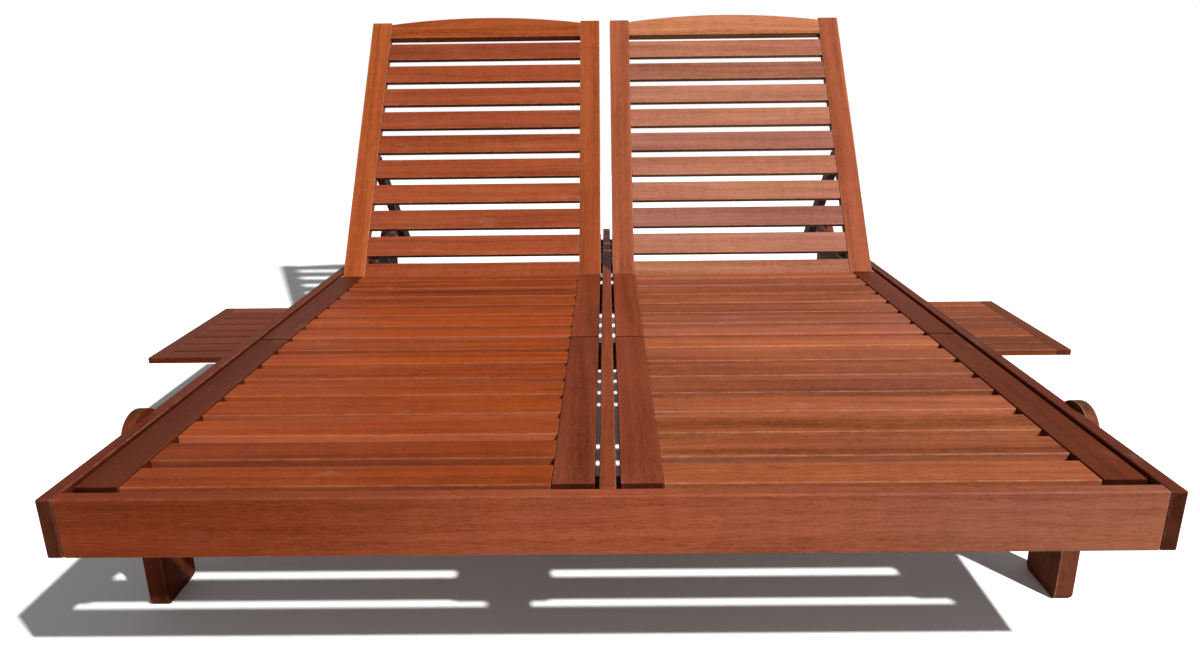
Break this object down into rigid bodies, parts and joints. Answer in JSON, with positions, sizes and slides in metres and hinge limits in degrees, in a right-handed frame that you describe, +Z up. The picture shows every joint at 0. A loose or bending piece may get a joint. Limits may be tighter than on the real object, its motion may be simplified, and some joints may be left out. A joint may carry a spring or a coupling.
{
  "type": "double chaise lounger",
  "caption": "Two-person slatted wooden sun lounger with side-by-side reclining backrests, prop bars in notched racks, board legs and slatted side trays that slide out from under the rails.",
  "frame": {"origin": "on the floor, midway between the outermost edges left to right and front to back", "axes": "+X to the right as seen from the foot end, along the greatest width over both trays; +Y from the foot end to the head end; +Z up, the smallest overall size"},
  "size_m": [1.838, 1.78, 0.8716],
  "materials": {
    "rail": "oiled reddish-brown hardwood",
    "leg": "oiled reddish-brown hardwood",
    "hidden_wood": "plain sawn hardwood",
    "board": "oiled reddish-brown hardwood",
    "slat": "oiled reddish-brown hardwood with varied boards",
    "stile": "oiled orange-brown hardwood",
    "back_slat": "oiled orange-brown hardwood with varied boards",
    "prop_wood": "plain oiled hardwood",
    "tray_wood": "oiled reddish-brown hardwood",
    "steel": "dull plated steel"
  },
  "bodies": {
    "frame": {"centre_rail": "rail", "front_rail": "rail", "rear_cross_rail": "hidden_wood", "front_bearers": "hidden_wood", "tray_guide_front": "hidden_wood", "tray_guide_rear": "hidden_wood", "leg_bolts": "steel", "frame_bolts": "steel", "back_pivot_bolts": "steel", "pivot_spacers": "steel", "side_rail_left": "rail", "side_rail_right": "rail", "leg_front_left": "leg", "leg_front_right": "leg", "leg_rear_left": "leg", "leg_rear_right": "leg", "seam_bearer_left": "hidden_wood", "seam_bearer_right": "hidden_wood", "seat_bearer_left": "hidden_wood", "seat_bearer_right": "hidden_wood", "rack_outer_left": "hidden_wood", "rack_outer_right": "hidden_wood", "rack_centre_left": "hidden_wood", "rack_centre_right": "hidden_wood", "leg_board_outer_left": "board", "leg_board_outer_right": "board", "leg_board_inner_left": "board", "leg_board_inner_right": "board", "seat_board_outer_left": "board", "seat_board_outer_right": "board", "seat_board_inner_left": "board", "seat_board_inner_right": "board", "leg_slats_left": "slat", "leg_slats_right": "slat", "seat_slats_left": "slat", "seat_slats_right": "slat"},
    "back_left": {"back_stile_outer_left": "stile", "back_stile_inner_left": "stile", "back_top_rail_left": "stile", "back_slats_left": "back_slat", "prop_blocks_left": "prop_wood", "prop_bolts_left": "steel"},
    "prop_left": {"prop_arm_outer_left": "prop_wood", "prop_arm_inner_left": "prop_wood", "prop_crossbar_left": "prop_wood"},
    "tray_left": {"tray_board_outer_left": "tray_wood", "tray_board_inner_left": "tray_wood", "tray_slats_left": "tray_wood"},
    "back_right": {"back_stile_outer_right": "stile", "back_stile_inner_right": "stile", "back_top_rail_right": "stile", "back_slats_right": "back_slat", "prop_blocks_right": "prop_wood", "prop_bolts_right": "steel"},
    "prop_right": {"prop_arm_outer_right": "prop_wood", "prop_arm_inner_right": "prop_wood", "prop_crossbar_right": "prop_wood"},
    "tray_right": {"tray_board_outer_right": "tray_wood", "tray_board_inner_right": "tray_wood", "tray_slats_right": "tray_wood"}
  },
  "joints": [
    {"name": "recline_left", "type": "hinge", "parent": "frame", "child": "back_left", "pos_m": [-0.3191, 0.214, 0.2655], "axis": [1, 0, 0], "range_deg": [-48.2, 13.8]},
    {"name": "prop_fold_left", "type": "hinge", "parent": "back_left", "child": "prop_left", "pos_m": [-0.3191, 0.45685, 0.51263], "axis": [-1, 0, 0], "range_deg": [-97, 28]},
    {"name": "tray_slide_left", "type": "slide", "parent": "frame", "child": "tray_left", "axis": [1, 0, 0], "range_m": [0, 0.25]},
    {"name": "recline_right", "type": "hinge", "parent": "frame", "child": "back_right", "pos_m": [0.3191, 0.214, 0.2655], "axis": [1, 0, 0], "range_deg": [-48.2, 13.8]},
    {"name": "prop_fold_right", "type": "hinge", "parent": "back_right", "child": "prop_right", "pos_m": [0.3191, 0.45685, 0.51263], "axis": [-1, 0, 0], "range_deg": [-97, 28]},
    {"name": "tray_slide_right", "type": "slide", "parent": "frame", "child": "tray_right", "axis": [-1, 0, 0], "range_m": [0, 0.25]}
  ],
  "couplings": [
    {"joint": "prop_fold_left", "follows": "recline_left", "ratio": 2},
    {"joint": "prop_fold_right", "follows": "recline_right", "ratio": 2}
  ]
}
